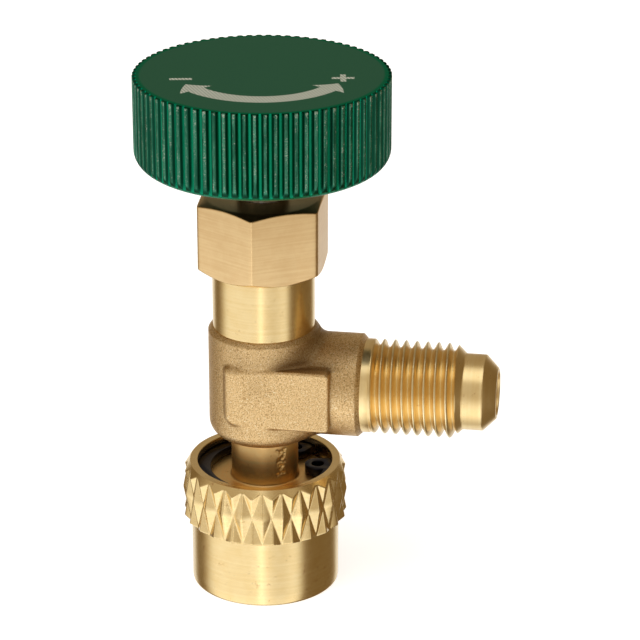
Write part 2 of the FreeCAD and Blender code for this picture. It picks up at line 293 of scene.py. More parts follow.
forgedBrass = {
    "colour": rgb(244, 210, 154), "dark": rgb(170, 128, 76), "pale": rgb(255, 250, 224),
    "creaseShadeColour": rgb(96, 66, 34), "grain": 0.13, "depth": 0.07, "roughness": 0.42,
}


def forgedBrassMaterial(name, style=forgedBrass):
    # shot-blasted skin: fine pits and grains of two sizes, some of them bright
    material, graph = newMaterial(name)
    place = graph.place()
    grain = graph.noise(place, style["grain"], 3.0, 0.65)
    coarse = graph.noise(place, style["grain"] * 2.6, 2.0, 0.5)
    cloud = graph.noise(place, 3.0, 2.0, 0.5)
    height = grain * 0.65 + coarse * 0.5
    low = graph.mix(grain.step(0.3, 0.56), style["dark"], style["colour"])
    skin = graph.mix(grain.step(0.58, 0.7), low, style["pale"])
    # painted shade: a vertex attribute, near 1 in the forging's crevices, mixes the colour towards dark
    # brown
    paintedShade = graph.node("Attribute", {"attribute_name": "paintedShade"}, output=2)
    graph.surface({
        "Base Color": graph.mix(paintedShade, skin, style["creaseShadeColour"]),
        "Metallic": 1.0,
        "Roughness": style["roughness"] + (cloud - 0.5) * 0.12,
        "Normal": graph.bump(height, style["depth"]),
    })
    return material


milledBrass = {
    "colour": rgb(246, 214, 160), "dark": rgb(232, 196, 142), "roughness": 0.34,
    "lineWidth": 0.06, "lineDepth": 0.003,
}


def milledBrassMaterial(name, style=milledBrass):
    # the hexagon's flats carry fine marks that run across, level with the base
    material, graph = newMaterial(name)
    place = graph.place()
    x, y, z = graph.split(place)
    flow = graph.join(x * 0.03, y * 0.03, z)
    fine = graph.noise(flow, style["lineWidth"], 3.0, 0.6)
    broad = graph.noise(flow, style["lineWidth"] * 4, 2.0, 0.5)
    cloud = graph.noise(place, 1.6, 3.0, 0.6)
    graph.surface({
        "Base Color": graph.mix((broad * 0.5 + cloud * 0.5).step(0.3, 0.7), style["dark"], style["colour"]),
        "Metallic": 1.0,
        "Roughness": style["roughness"] + (fine - 0.5) * 0.12 + (cloud - 0.5) * 0.1,
        "Normal": graph.bump(fine, style["lineDepth"]),
    })
    return material


# the flank colour is a painted shade on the flutes' flanks
anodised = {
    "floor": rgb(0, 140, 102), "flank": rgb(0, 72, 50), "crest": rgb(66, 138, 110),
    "worn": rgb(200, 208, 194), "top": rgb(78, 138, 118), "edgeTint": rgb(185, 214, 204),
    # the near-black green below is a painted shade on the wheel's underside
    "paintedUnderShade": rgb(10, 26, 18), "etched": rgb(206, 210, 200), "roughness": 0.34, "metallic": 0.7,
}
turnMark = {
    "bearing": -80.0, "inner": 8.2, "outer": 10.4, "half": 52.0, "head": 14.0, "headWidth": 2.2,
    "signBearing": 78.0, "signReach": 1.3, "signHalf": 0.35, "edge": 0.05, "hatch": 0.42,
}


def turnMarkMask(graph, x, y, mark=turnMark):
    # a double-headed turning arrow with a plus and a minus, in millimetres on the wheel's top: an arc
    # band, two heads whose width falls to nothing, and the two signs, all cut by a fine hatch
    x, y = x / millimetre, y / millimetre
    turn = math.radians(mark["bearing"])
    ahead = x * math.cos(turn) + y * math.sin(turn)
    aside = y * math.cos(turn) - x * math.sin(turn)
    radius = (x * x + y * y) ** 0.5
    bearing = aside.maths("ARCTAN2", ahead).maths("ABSOLUTE")
    edge = mark["edge"]
    middle = (mark["inner"] + mark["outer"]) / 2
    half, head = math.radians(mark["half"]), math.radians(mark["head"])
    apart = (radius - middle).maths("ABSOLUTE")
    band = (middle - mark["inner"] - apart).step(0.0, edge) * (half - bearing).step(0.0, edge / middle)
    width = (half + head - bearing) * (mark["headWidth"] / head)
    tip = (width - apart).step(0.0, edge) * (bearing - half).step(-edge / middle, 0.0)
    place = math.radians(mark["signBearing"])
    along = (ahead - middle * math.cos(place)).maths("ABSOLUTE")
    shape = band.maths("MAXIMUM", tip)
    for side, upright in ((1, True), (-1, False)):
        over = (aside - side * middle * math.sin(place)).maths("ABSOLUTE")
        bar = (mark["signReach"] - over).step(0.0, edge) * (mark["signHalf"] - along).step(0.0, edge)
        shape = shape.maths("MAXIMUM", bar)
        if upright:
            bar = (mark["signReach"] - along).step(0.0, edge) * (mark["signHalf"] - over).step(0.0, edge)
            shape = shape.maths("MAXIMUM", bar)
    hatch = ((x + y * 0.6) * (2 * math.pi / mark["hatch"])).maths("SINE")
    return shape * (0.6 + hatch.step(-0.6, 0.2) * 0.4)


def anodisedMaterial(name, wheel, style=anodised):
    # green dye over aluminium: clean in the flutes' floors, darker on their flanks as painted shade, greyish
    # on their crests and worn to bare metal in specks there; a pale etched mark on the top
    material, graph = newMaterial(name)
    place = graph.place()
    x, y, z = graph.split(place)
    radius, along = radial(graph, place)
    crest = wheel["diameter"] / 2 * millimetre
    deep = wheel["depth"] * millimetre
    high = radius.step(crest - deep * 0.3, crest - deep * 0.08)
    low = 1 - radius.step(crest - deep * 0.92, crest - deep * 0.7)
    streak = graph.noise(graph.join(x, y, z * 0.16), 0.7, 4.0, 0.65)
    patch = graph.noise(place, 1.4, 4.0, 0.7) * 0.5 + streak * 0.5
    speck = graph.noise(place, 0.16, 3.0, 0.6)
    top = along.step((wheel["top"] - 0.25) * millimetre, (wheel["top"] - 0.1) * millimetre)
    lip = along.step((wheel["top"] - 0.7) * millimetre, (wheel["top"] - 0.2) * millimetre) * high
    worn = (high * (patch * 0.6 + speck * 0.7) + lip * 0.1).step(0.68, 0.86)
    # painted shade: the flanks take a darker green than the floors
    side = graph.mix(low, style["flank"], style["floor"])
    side = graph.mix(high * (streak.step(0.36, 0.62) * 0.75 + 0.25), side, style["crest"])
    side = graph.mix(worn * 0.8, side, style["worn"])
    inner = 1 - radius.step(crest - deep * 2.2, crest - deep * 1.5)
    mark = turnMarkMask(graph, x, y) * top
    face = graph.mix(top * inner, side, style["top"])
    # painted shade: the wheel's underside and bore take a near-black green
    paintedUnderShade = (1 - along.step((wheel["base"] + 0.1) * millimetre, (wheel["base"] + 1.0) * millimetre)) * inner
    face = graph.mix(paintedUnderShade, face, style["paintedUnderShade"])
    graph.surface({
        "Base Color": graph.mix(mark, face, style["etched"]),
        "Metallic": style["metallic"] + top * (1 - style["metallic"]) - mark * 0.9,
        "Roughness": style["roughness"] + (speck - 0.5) * 0.1 + worn * 0.1,
        "Specular Tint": style["edgeTint"],
        "Normal": graph.bump(speck, 0.005),
    })
    return material


def plainMetal(name, colour, roughness, grain=0.1, depth=0.003):
    # a plain metal with a fine grain
    material, graph = newMaterial(name)
    place = graph.place()
    speck = graph.noise(place, grain, 3.0, 0.6)
    cloud = graph.noise(place, grain * 14, 2.0, 0.5)
    dark = [part * 0.72 for part in colour[:3]] + [1.0]
    graph.surface({
        "Base Color": graph.mix(cloud.step(0.35, 0.65), dark, colour),
        "Metallic": 1.0,
        "Roughness": roughness + (speck - 0.5) * 0.12,
        "Normal": graph.bump(speck, depth),
    })
    return material


def plainPolymer(name, colour, roughness):
    # moulded rubber or polymer with a faint grain
    material, graph = newMaterial(name)
    place = graph.place()
    speck = graph.noise(place, 0.15, 3.0, 0.6)
    dark = [part * 0.7 for part in colour[:3]] + [1.0]
    graph.surface({
        "Base Color": graph.mix(speck.step(0.3, 0.7), dark, colour),
        "Roughness": roughness + (speck - 0.5) * 0.1,
        "Normal": graph.bump(speck, 0.004),
    })
    return material


# Camera

camera = {
    "aim": (6.563, 0.381, 33.319),     # the point that the picture's middle looks at
    "place": (55.306, -312.540, 166.457), "lens": 166.15, "sensor": 36.0,
}
lens = bpy.data.cameras.new("camera")
lens.lens = camera["lens"]
lens.sensor_width = camera["sensor"]
lens.clip_start = 0.01
eye = bpy.data.objects.new("camera", lens)
bpy.context.scene.collection.objects.link(eye)
eye.location = Vector(camera["place"]) * millimetre
eye.rotation_mode = "QUATERNION"
eye.rotation_quaternion = (Vector(camera["aim"]) - Vector(camera["place"])).to_track_quat("-Z", "Y")
bpy.context.scene.camera = eye
bpy.context.scene.view_settings.view_transform = "Standard"
print("camera set")


# Valve body: forging, neck, stem and side port

forging = {
    "radius": 6.5, "base": 18.9, "top": 32.6, "baseRound": 2.0, "topChamfer": 0.45,
    "bossRadius": 6.05, "bossEnd": 11.5, "bossStep": 0.5, "portHeight": 25.6, "blend": 1.2,
    "padStand": 6.52, "padLeft": -3.7, "padRight": 8.6, "padBottom": 22.0, "padTop": 29.4,
    "padCorner": 0.55, "padLowCorner": 1.5, "padFoot": 0.3, "padRound": (0.75, 0.3),
    "padRoundPlaces": (-2.0, 3.0), "chamber": 3.9, "chamberFloor": 21.5, "socket": 5.0,
    "socketFloor": 31.4, "stemHole": 3.8, "portHole": 3.8, "spacing": 0.15,
}
# sizes of the painted shade in the forging's crevices
paintedShadeSizes = {
    "creaseWidth": 1.3, "creaseShade": 0.95, "creaseFade": 0.5, "creaseRise": 2.0, "edgeWidth": 0.22,
    "edgeShade": 0.45, "edgeFade": 0.12, "ledgeWidth": 0.6, "ledgeShade": 0.85, "ledgeStart": 1.0,
    "ledgeRise": 2.0, "ledgeDrop": 0.3,
}


def forgingParts(x, y, z, size=forging):
    # signed distances in millimetres, negative inside the metal: the barrel, the boss, the two joined by
    # a round blend, and the two flat pads
    r = np.hypot(x, y)
    curve = size["baseRound"]
    out = r - (size["radius"] - curve)
    down = size["base"] + curve - z
    barrel = np.minimum(np.maximum(out, down), 0) + np.hypot(np.maximum(out, 0), np.maximum(down, 0)) - curve
    crown = (r + z - size["radius"] - size["top"] + size["topChamfer"]) / math.sqrt(2)
    crown = np.maximum(crown, z - size["top"])
    barrel = np.maximum(barrel, crown)
    up = z - size["portHeight"]
    q = np.hypot(y, up)
    slant = (q + x - size["bossRadius"] - size["bossEnd"]) / math.sqrt(2)
    boss = np.maximum(np.maximum(q - size["bossRadius"], slant), x - size["bossEnd"] - size["bossStep"])
    boss = np.maximum(boss, -x)
    blend = size["blend"]
    meet = np.hypot(np.maximum(blend - barrel, 0), np.maximum(blend - boss, 0))
    tee = np.maximum(blend, np.minimum(barrel, boss)) - meet
    tee = np.maximum(tee, np.where(x < size["radius"], crown, z - size["top"]))
    middleX = (size["padLeft"] + size["padRight"]) / 2
    middleZ = (size["padBottom"] + size["padTop"]) / 2
    corner = np.where((x < middleX) & (z < middleZ), size["padLowCorner"], size["padCorner"])
    across = np.abs(x - middleX) - (size["padRight"] - size["padLeft"]) / 2 + corner
    tall = np.abs(z - middleZ) - (size["padTop"] - size["padBottom"]) / 2 + corner
    edge = np.interp(x, size["padRoundPlaces"], size["padRound"])
    flat = (np.hypot(np.maximum(across, 0), np.maximum(tall, 0))
            + np.minimum(np.maximum(across, tall), 0) - corner + edge)
    deep = np.abs(y) - size["padStand"] + edge
    pad = (np.minimum(np.maximum(flat, deep), 0)
           + np.hypot(np.maximum(flat, 0), np.maximum(deep, 0)) - edge)
    return barrel, boss, tee, pad


def forgingField(x, y, z, size=forging):
    # the tee and the pads joined by a small fillet, less the bores
    barrel, boss, tee, pad = forgingParts(x, y, z)
    r = np.hypot(x, y)
    q = np.hypot(y, z - size["portHeight"])
    foot = size["padFoot"]
    meet = np.hypot(np.maximum(foot - tee, 0), np.maximum(foot - pad, 0))
    solid = np.maximum(foot, np.minimum(tee, pad)) - meet
    holes = np.minimum(np.maximum(r - size["chamber"], size["chamberFloor"] - z), r - size["stemHole"])
    holes = np.minimum(holes, np.maximum(r - size["socket"], size["socketFloor"] - z))
    holes = np.minimum(holes, np.maximum(q - size["portHole"], -x))
    return np.maximum(solid, -holes)


def netSurface(field, low, high, spacing):
    # a surface net: one vertex in each cell that the surface crosses, at the mean of its crossed edges,
    # and a quad round each crossed edge; then each vertex slides along the slope onto the surface
    axes = [np.arange(a, b + spacing, spacing) for a, b in zip(low, high)]
    value = field(*np.meshgrid(*axes, indexing="ij"))
    inside = value < 0
    cells = tuple(count - 1 for count in value.shape)
    total = np.zeros(cells + (3,))
    number = np.zeros(cells)
    crossings = []
    for axis in range(3):
        near = tuple(slice(0, -1) if k == axis else slice(None) for k in range(3))
        far = tuple(slice(1, None) if k == axis else slice(None) for k in range(3))
        edge = np.argwhere(inside[near] != inside[far])
        step = np.eye(3, dtype=int)[axis]
        a = value[tuple(edge.T)]
        b = value[tuple((edge + step).T)]
        point = edge + step * (a / (a - b))[:, None]
        around = []
        others = [k for k in range(3) if k != axis]
        for first, second in ((0, 0), (1, 0), (1, 1), (0, 1)):
            cell = edge.copy()
            cell[:, others[0]] -= first
            cell[:, others[1]] -= second
            np.add.at(total, tuple(cell.T), point)
            np.add.at(number, tuple(cell.T), 1)
            around.append(cell)
        crossings.append(around)
    used = number > 0
    index = np.full(cells, -1)
    index[used] = np.arange(used.sum())
    points = np.array(low) + spacing * total[used] / number[used][:, None]
    faces = np.concatenate([np.stack([index[tuple(cell.T)] for cell in around], axis=1)
                            for around in crossings])
    small = 0.01
    for repeat in range(3):
        here = field(*points.T)
        slope = np.stack([(field(*(points + shift).T) - field(*(points - shift).T)) / (2 * small)
                          for shift in np.eye(3) * small], axis=1)
        steep = np.maximum((slope ** 2).sum(axis=1), 0.2)
        move = slope * (here / steep)[:, None]
        points -= np.clip(move, -spacing / 2, spacing / 2)
    return points, faces


def forgingPaintedShade(points, size=forging, dark=paintedShadeSizes):
    # painted shade for the crevices, a darker colour where occlusion shades the metal: near 1 where the
    # barrel meets the boss, where a pad's edge meets the round behind it, and over the pad's right part;
    # each is exp(-(sum of both distances) / width)
    barrel, boss, tee, pad = forgingParts(*points.T)
    x, y, z = points.T
    crease = np.exp(-(np.abs(barrel) + np.abs(boss)) / dark["creaseWidth"]) * dark["creaseShade"]
    crease = crease * np.clip(pad / dark["creaseFade"], 0, 1)
    crease = crease * np.clip((z - size["portHeight"]) / dark["creaseRise"], 0, 1)
    behind = np.clip((size["padStand"] - np.abs(y)) / dark["edgeFade"] - 1, 0, 1)
    apart = np.abs(tee) + np.abs(pad)
    edge = np.exp(-apart / dark["edgeWidth"]) * dark["edgeShade"] * behind
    over = np.clip((x - dark["ledgeStart"]) / dark["ledgeRise"], 0, 1)
    over = over * (z > size["padTop"] - dark["ledgeDrop"])
    ledge = np.exp(-apart / dark["ledgeWidth"]) * dark["ledgeShade"] * behind * over
    return np.clip(crease + np.maximum(edge, ledge), 0, 1)


castMaterial = forgedBrassMaterial("forged_brass")
turnedMaterial = turnedBrassMaterial("turned_brass")
stemMaterial = turnedBrassMaterial("turned_brass_stem", None, stemBrass)
portMaterial = turnedBrassMaterial("turned_brass_port", portBrass["portHeight"], portBrass)
points, faces = netSurface(forgingField, (-7.1, -7.1, 18.5), (12.6, 7.1, 33.1), forging["spacing"])
piece = makePiece("body_forging", points, faces, "valve", ["valve_body"], castMaterial)
places = np.empty(len(piece.data.vertices) * 3)
piece.data.vertices.foreach_get("co", places)
# painted shade for the crevices, stored on the forging's vertices
paintedShade = piece.data.attributes.new("paintedShade", "FLOAT", "POINT")
paintedShade.data.foreach_set("value", forgingPaintedShade(places.reshape(-1, 3) / millimetre))

neck = {"radius": 5.95, "inner": 4.98, "low": 32.2, "top": 39.9, "edge": 0.12, "columns": 192}
profile = divided(rounded([(neck["inner"], neck["low"]), (neck["radius"], neck["low"]),
                           (neck["radius"], neck["top"]), (neck["inner"], neck["top"])], neck["edge"]), 0.5)
points = turned(profile, neck["columns"])
makePiece("body_neck", points, gridFaces(*points.shape[:2]), "valve", ["valve_body"],
          turnedMaterial, 40)

stem = {
    "radius": 3.95, "top": 21.2, "flange": 7.75, "flangeLow": 11.3, "flangeTop": 13.3, "chamfer": 0.25,
    "foot": 0.35, "nose": 4.6, "noseLow": 8.6, "recess": 3.65, "recessTop": 10.6, "guide": 2.6,
    "guideTop": 12.8, "passage": 1.9, "edge": 0.08, "columns": 240, "spacing": 0.12,
    "pits": 44, "pitSeed": 4, "pitDepth": 0.13, "pitBearings": (-60, -44), "pitHeights": (14.6, 18.0),
    "pitWidths": (0.07, 0.2), "pitShares": (0.3, 1.0),
}


def stemPoints(size=stem):
    # the turned profile; casting pits left on the stem are small round dips:
    # depth times exp(-(distance / width)^2)
    outer = [(size["passage"], size["top"]), (size["passage"], size["guideTop"]),
             (size["guide"], size["guideTop"]), (size["guide"], size["recessTop"]),
             (size["recess"], size["recessTop"]), (size["recess"], size["noseLow"]),
             (size["nose"], size["noseLow"]), (size["nose"], size["flangeLow"]),
             (size["flange"], size["flangeLow"]), (size["flange"], size["flangeTop"]),
             (size["radius"], size["flangeTop"]), (size["radius"], size["top"])]
    reach = np.full(len(outer), size["edge"])
    reach[[8, 9]] = size["chamfer"]
    reach[10] = size["foot"]
    points = turned(divided(rounded(outer, reach, 5), size["spacing"]), size["columns"])
    random = np.random.default_rng(size["pitSeed"])
    angle = np.radians(random.uniform(*size["pitBearings"], size["pits"]))
    height = random.uniform(*size["pitHeights"], size["pits"])
    width = random.uniform(*size["pitWidths"], size["pits"])
    depth = random.uniform(*size["pitShares"], size["pits"]) * size["pitDepth"]
    centres = np.stack([size["radius"] * np.cos(angle), size["radius"] * np.sin(angle), height], axis=1)
    apart = np.linalg.norm(points[:, :, None, :] - centres, axis=-1)
    dip = (depth * np.exp(-(apart / width) ** 2)).sum(axis=-1)
    radius = np.linalg.norm(points[..., :2], axis=-1)
    points[..., :2] *= (1 - dip / radius)[..., None]
    return points


points = stemPoints()
makePiece("body_stem", points, gridFaces(*points.shape[:2]), "valve", ["valve_body"],
          stemMaterial, 50)

port = {
    "pitch": 1.27, "crest": 5.53, "root": 4.66, "plain": 5.5, "start": 11.6, "threadStart": 12.85,
    "firstCrest": 14.08, "threadEnd": 23.65, "nose": 4.45, "noseStart": 23.75, "noseEnd": 26.05,
    "face": 2.95, "bore": 2.55, "back": 3.0, "backEnd": 5.4, "chamber": 3.95, "lining": 3.85,
    "crestFlat": 0.09, "rootFlat": 0.12, "flankHollow": 0.06, "runIn": 0.6, "runOut": 1.1,
    "runOutSlope": 0.95, "rowsPerTurn": 18, "columns": 144, "height": 25.6, "edge": 0.12,
}


def portRadius(x, angle, size=port):
    # a 60 degree thread: height over the root falls on both sides of a crest that moves one pitch
    # along the axis for each turn; the groove fades in at the start and the crest fades out at the end
    phase = (x - size["firstCrest"]) / size["pitch"] + angle / (2 * np.pi)
    apart = np.abs(phase - np.round(phase)) * size["pitch"]
    flank = size["pitch"] / 2 - size["crestFlat"] / 2 - size["rootFlat"] / 2
    fall = np.clip((apart - size["crestFlat"] / 2) / flank, 0, 1)
    fall = fall - size["flankHollow"] * np.sin(2 * np.pi * fall)
    depth = (size["crest"] - size["root"]) * fall
    begin = np.clip((x - size["threadStart"]) / (size["runIn"] * size["pitch"]), 0, 1)
    finish = size["crest"] - np.clip(x - size["threadEnd"] + size["runOut"], 0, None) * size["runOutSlope"]
    plain = size["plain"] + (size["crest"] - size["plain"]) * begin
    return np.maximum(np.minimum(plain - depth * begin, finish), size["nose"])


def portPoints(size=port):
    # the thread's rows lean with the thread, one pitch a turn, and stop at its two ends; the inner end
    # follows the chamber's wall
    angle = np.linspace(0, 2 * np.pi, size["columns"] + 1)
    step = size["pitch"] / size["rowsPerTurn"]
    rows = np.arange(size["threadStart"] - step * 2, size["threadEnd"] + size["pitch"] + step * 2, step)
    x = np.clip(rows[:, None] - size["pitch"] * angle / (2 * np.pi), size["threadStart"], size["threadEnd"])
    thread = np.stack([portRadius(x, angle), x], axis=-1)
    ends = [(size["nose"], size["noseStart"] + 0.05), (size["nose"], size["noseEnd"]),
            (size["face"], size["noseEnd"] + size["nose"] - size["face"]),
            (size["bore"], size["noseEnd"] + size["nose"] - size["face"]),
            (size["bore"], size["back"]), (size["lining"], size["back"]), (size["lining"], size["start"]),
            (size["plain"], size["start"])]
    curve = divided(rounded(ends, size["edge"], 4, closed=False), 0.4, closed=False)
    curve = np.broadcast_to(curve[:, None], (len(curve), len(angle), 2))
    profile = np.concatenate([thread, curve])
    r, along = profile[..., 0], profile[..., 1]
    y = r * np.sin(angle)
    chamber = np.sqrt(np.maximum(size["chamber"] ** 2 - y ** 2, 0))
    share = np.clip((size["backEnd"] - along) / (size["backEnd"] - size["back"]), 0, 1)
    along = along + (chamber - size["back"]) * share
    return np.stack([along, y, size["height"] + r * np.cos(angle)], axis=-1)


points = portPoints()
makePiece("side_port", points, gridFaces(*points.shape[:2], closedColumns=False), "valve", ["valve_body"],
          portMaterial, 60)


# Union nut

nut = {
    "radius": 8.75, "height": 15.3, "edge": 0.35, "collar": 9.8, "collarBase": 8.3, "cells": 25,
    "depth": 0.65, "phase": -82.5, "rim": 8.9, "rimHeight": 1.25, "seat": 8.0, "lip": 0.95,
    "foot": 9.2, "footHeight": 0.32, "ring": 1.0, "play": 0.05, "groove": 8.42, "relief": 5.8,
    "flangeLow": 11.3, "wall": 5.64, "wallTop": 9.2, "columnsPerCell": 24, "rows": 72, "soft": 0.1,
    "tip": 0.93, "tipSlope": 0.3,
}


def knurlRadius(angle, z, size=nut):
    # two sets of grooves cross at +q and -q; the metal between rises as pyramids:
    # height = 1 - 2 max(|a|, |b|), with a and b the distances to the nearest grooves' middles
    p = (np.degrees(angle) - size["phase"]) / 360 * size["cells"]
    q = (z - (size["collarBase"] + size["height"]) / 2) / (size["height"] - size["collarBase"])
    a = (p + q) - np.round(p + q)
    b = (p - q) - np.round(p - q)
    a, b = np.abs(a), np.abs(b)
    soft = size["soft"]
    top = np.maximum(a, b) + np.maximum(soft - np.abs(a - b), 0) ** 2 / (4 * soft)
    rise = 1 - 2 * top
    rise = np.where(rise < soft, (rise + soft) ** 2 / (4 * soft), rise)
    rise = np.minimum(rise, size["tip"] + size["tipSlope"] * (rise - size["tip"]))
    valley = size["collar"] - size["depth"]
    slope = (size["collar"] - size["rim"]) / size["rimHeight"]
    crown = size["rim"] + (size["height"] - z) * slope
    foot = size["foot"] + (z - size["collarBase"]) * (size["collar"] - size["foot"]) / size["footHeight"]
    return np.minimum(np.minimum(valley + size["depth"] * rise, crown), foot)


def nutPoints(size=nut):
    # rows of the profile are plain turned rings, but for the collar's, which follow knurlRadius
    columns = size["cells"] * size["columnsPerCell"]
    angle = np.arange(columns) * 2 * np.pi / columns
    ringLow = size["height"] - size["lip"] - size["ring"] - size["play"]
    ringTop = size["height"] - size["lip"] + size["play"]
    inside = [(size["rim"] - 0.1, size["height"]), (size["seat"], size["height"]), (size["seat"], ringTop),
              (size["groove"], ringTop), (size["groove"], ringLow), (size["seat"], ringLow),
              (size["seat"], size["flangeLow"]), (size["relief"], size["flangeLow"]),
              (size["wall"], size["wallTop"]), (size["wall"], 0.0),
              (size["radius"], 0.0), (size["radius"], size["collarBase"] - 0.05)]
    reach = np.full(len(inside), 0.1)
    reach[10] = size["edge"]
    curve = divided(rounded(inside, reach, 4, closed=False), 1.2, closed=False)
    plain = np.broadcast_to(curve[:, None], (len(curve), columns, 2))
    low = np.linspace(size["collarBase"], size["collarBase"] + size["footHeight"], 5)[:-1]
    z = np.linspace(low[-1] + 0.08, size["height"], size["rows"] + 1)
    z = np.concatenate([low, z])[:, None]
    z, turn = np.broadcast_arrays(z, angle)
    knurl = np.stack([knurlRadius(turn, z), z], axis=-1)
    profile = np.concatenate([plain, knurl])
    r, along = profile[..., 0], profile[..., 1]
    return np.stack([r * np.cos(angle), r * np.sin(angle), along], axis=-1)


nutMaterial = turnedBrassMaterial("nut_brass")
points = nutPoints()
faces = creased(points.reshape(-1, 3), gridFaces(*points.shape[:2]))
makePiece("nut_shell", points, faces, "union", ["union_nut"], nutMaterial, 50)

unionThread = {"pitch": 1.27, "minor": 4.95, "major": 5.58, "low": 0.05, "top": 8.4, "mouth": 0.8,
               "wall": 5.75, "rowsPerTurn": 12, "columns": 120, "flat": 0.16}


def unionThreadPoints(size=unionThread):
    # the nut's inner thread, a right-hand 60 degree helix inside a thin lining
    angle = np.linspace(0, 2 * np.pi, size["columns"] + 1)
    step = size["pitch"] / size["rowsPerTurn"]
    rows = np.arange(size["low"] - size["pitch"] - step, size["top"] + step * 2, step)
    z = np.clip(rows[:, None] + size["pitch"] * angle / (2 * np.pi), size["low"], size["top"])
    phase = z / size["pitch"] - angle / (2 * np.pi)
    apart = np.abs(phase - np.round(phase)) * size["pitch"]
    rise = np.clip((apart - size["flat"] / 2) / (size["pitch"] / 2 - size["flat"]), 0, 1)
    r = size["minor"] + (size["major"] - size["minor"]) * rise
    r = np.maximum(r, size["minor"] + size["mouth"] - z)
    thread = np.stack([r, z], axis=-1)
    wall = np.array([(size["wall"], size["top"]), (size["wall"], size["low"])])
    wall = np.broadcast_to(wall[:, None], (2, len(angle), 2))
    profile = np.concatenate([thread, wall])
    r, along = profile[..., 0], profile[..., 1]
    return np.stack([r * np.cos(angle), r * np.sin(angle), along], axis=-1)


points = unionThreadPoints()
makePiece("nut_thread", points, gridFaces(*points.shape[:2], closedColumns=False), "union", ["union_nut"],
          nutMaterial, 50)


# Bonnet

bonnet = {
    "flats": 7.0, "base": 39.9, "top": 48.7, "topFlat": 6.7, "topSlope": 20.0, "footFlat": 6.9,
    "footSlope": 30.0, "sharpness": 7.0, "edge": 0.16, "bore": 3.05, "shank": 4.9, "columns": 720,
}


def bonnetPoints(size=bonnet):
    # each angle has its own profile: the hexagon's rounded radius, cut by a cone above and below
    columns = size["columns"]
    angle = np.arange(columns) * 2 * np.pi / columns
    sharpness = size["sharpness"]
    faces = np.arange(6) * np.pi / 3
    reach = size["flats"] / np.maximum(np.cos(angle[:, None] - faces), 0.2)
    hexagon = -np.log(np.exp(-reach * sharpness).sum(axis=1)) / sharpness
    drop = (hexagon - size["topFlat"]) * math.tan(math.radians(size["topSlope"]))
    rise = (hexagon - size["footFlat"]) * math.tan(math.radians(size["footSlope"]))
    flat = np.ones(columns)
    corners = np.stack([
        np.stack([flat * size["bore"], flat * size["top"]], axis=1),
        np.stack([flat * size["topFlat"], flat * size["top"]], axis=1),
        np.stack([hexagon, size["top"] - drop], axis=1),
        np.stack([hexagon, size["base"] + np.maximum(rise, 0.02)], axis=1),
        np.stack([flat * size["footFlat"], flat * size["base"]], axis=1),
        np.stack([flat * size["shank"], flat * size["base"]], axis=1),
        np.stack([flat * size["shank"], flat * (size["base"] - 1.5)], axis=1),
        np.stack([flat * size["bore"], flat * (size["base"] - 1.5)], axis=1)], axis=1)
    profile = rounded(corners, size["edge"], 5).transpose(1, 0, 2)
    r, along = profile[..., 0], profile[..., 1]
    return np.stack([r * np.cos(angle), r * np.sin(angle), along], axis=-1)


milledMaterial = milledBrassMaterial("milled_brass")
points = bonnetPoints()
makePiece("bonnet_head", points, gridFaces(*points.shape[:2]), "valve", ["bonnet"],
          milledMaterial, 30)


# Handwheel

wheel = {
    "diameter": 29.34, "base": 52.75, "top": 63.2, "round": 1.8, "chamfer": 0.09, "flutes": 80,
    "depth": 0.45, "floor": 0.29, "crest": 0.32, "soft": 0.05, "bore": 3.05, "boreDepth": 7.05,
    "perFlute": 12, "sideRows": 12,
}


def wheelPoints(size=wheel):
    # the fluted outline (straight flanks between floor and crest) cut by the turned outline:
    # radius = min(flute(angle), envelope(z)), the faces closing in straight lines to the axis
    columns = size["flutes"] * size["perFlute"]
    radius = size["diameter"] / 2
    step = 2 * np.pi / size["flutes"]
    floorHalf = size["floor"] / 2 / radius
    crestHalf = size["crest"] / 2 / radius
    soft = size["soft"] / radius
    stops = np.array([0, floorHalf - soft / 2, floorHalf + soft, step / 4, step / 2 - crestHalf - soft,
                      step / 2 - crestHalf + soft / 2])
    half = np.concatenate([stops, [step / 2], step - stops[:0:-1]])
    angle = (np.arange(size["flutes"])[:, None] * step + half).ravel()
    across = np.abs(angle - np.round(angle / step) * step)
    share = np.clip((across - floorHalf) / (step / 2 - crestHalf - floorHalf), 0, 1)
    share = share * share * (3 - 2 * share) * 0.25 + share * 0.75
    flute = radius - size["depth"] * (1 - share)
    turn = np.radians(np.linspace(-90, 0, 15))
    curve = size["round"]
    low = np.stack([radius - curve + curve * np.cos(turn),
                    size["base"] + curve + curve * np.sin(turn)], axis=1)
    side = np.stack([np.full(size["sideRows"], radius + 1),
                     np.linspace(size["base"] + curve, size["top"] - size["chamfer"] - 0.1,
                                 size["sideRows"] + 1)[1:]], axis=1)
    chamfer = size["chamfer"]
    top = np.array([(radius, size["top"] - chamfer),
                    (radius - chamfer * 0.4, size["top"] - chamfer * 0.55),
                    (radius - chamfer, size["top"] - chamfer * 0.08),
                    (radius - chamfer - 0.1, size["top"])])
    envelope = np.concatenate([low, side, top])
    r = np.minimum(flute, envelope[:, 0:1])
    z = np.broadcast_to(envelope[:, 1:2], r.shape)
    rings = [(radius - 0.9, size["top"]), (radius - 2.2, size["top"]), (0.0, size["top"])]
    hole = [(0.0, size["base"] + size["boreDepth"]), (size["bore"], size["base"] + size["boreDepth"]),
            (size["bore"], size["base"] + 0.15), (size["bore"] + 0.15, size["base"]),
            (radius - curve - 1.5, size["base"])]
    rings = np.array(rings + hole)
    rings = np.broadcast_to(rings[:, None], (len(rings), columns, 2))
    r = np.concatenate([r, rings[..., 0]])
    z = np.concatenate([z, rings[..., 1]])
    return np.stack([r * np.cos(angle), r * np.sin(angle), z], axis=-1)


wheelMaterial = anodisedMaterial("green_anodised", wheel)
points = wheelPoints()
makePiece("wheel_fluted", points, gridFaces(*points.shape[:2]), "spindle", ["handwheel"],
          wheelMaterial, 40)


# Pieces that keep their own solids' form

